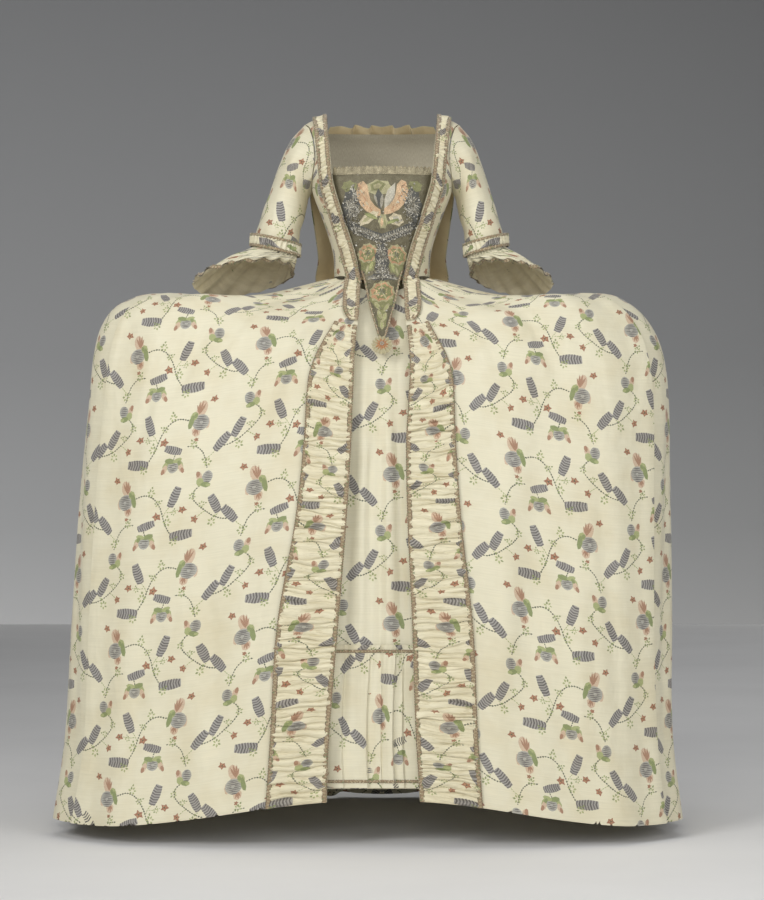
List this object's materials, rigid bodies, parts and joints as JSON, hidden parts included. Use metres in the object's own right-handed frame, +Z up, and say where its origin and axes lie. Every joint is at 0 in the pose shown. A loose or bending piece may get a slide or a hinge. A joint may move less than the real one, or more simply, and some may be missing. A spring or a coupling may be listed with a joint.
{
  "type": "robe a la francaise",
  "caption": "Open silk robe over a wide hoop, with a loose pleated back, stomacher, flounced elbow sleeves and matching petticoat, holding its worn hollow form.",
  "frame": {"origin": "between the shoulders, at the level of the shoulder straps, where the wearer holds the robe up", "axes": "+Z up along the wearer, -Y the way the front faces, +X the wearer's left"},
  "size_m": [1.297, 0.7614, 1.4688],
  "materials": {
    "brocaded_silk": "ivory silk with a woven floral pattern in grey, salmon and green, satin sheen",
    "ruched_silk": "the same silk gathered into close horizontal puckers",
    "fly_braid": "narrow silk braid with small tufts in tan, green and cream",
    "silver_brocade": "silk and metal thread with spangles, dull metallic sheen",
    "silver_lace": "fine metal-thread lace",
    "linen": "plain unbleached linen, matte"
  },
  "bodies": {
    "root": {"bodice_back": "linen", "bodice_front_left": "brocaded_silk", "bodice_front_right": "brocaded_silk", "cuff_left": "ruched_silk", "cuff_right": "ruched_silk", "petticoat_back": "brocaded_silk", "petticoat_flounce": "brocaded_silk", "petticoat_front": "brocaded_silk", "petticoat_heading_braid": "fly_braid", "petticoat_hem_braid": "fly_braid", "robing_braid_inner_left": "fly_braid", "robing_braid_inner_right": "fly_braid", "robing_braid_outer_left": "fly_braid", "robing_braid_outer_right": "fly_braid", "robing_left": "ruched_silk", "robing_right": "ruched_silk", "sack_back_left": "brocaded_silk", "sack_back_right": "brocaded_silk", "skirt_front_left": "brocaded_silk", "skirt_front_right": "brocaded_silk", "skirt_side_left": "brocaded_silk", "skirt_side_right": "brocaded_silk", "skirt_trim_braid_inner_left": "fly_braid", "skirt_trim_braid_inner_right": "fly_braid", "skirt_trim_braid_outer_left": "fly_braid", "skirt_trim_braid_outer_right": "fly_braid", "skirt_trim_left": "ruched_silk", "skirt_trim_right": "ruched_silk", "sleeve_flounce_braid_left": "fly_braid", "sleeve_flounce_braid_right": "fly_braid", "sleeve_flounce_left": "brocaded_silk", "sleeve_flounce_right": "brocaded_silk", "sleeve_left": "brocaded_silk", "sleeve_right": "brocaded_silk", "stomacher": "silver_brocade", "stomacher_lace": "silver_lace", "stomacher_rosette": "silver_brocade"}
  },
  "joints": []
}
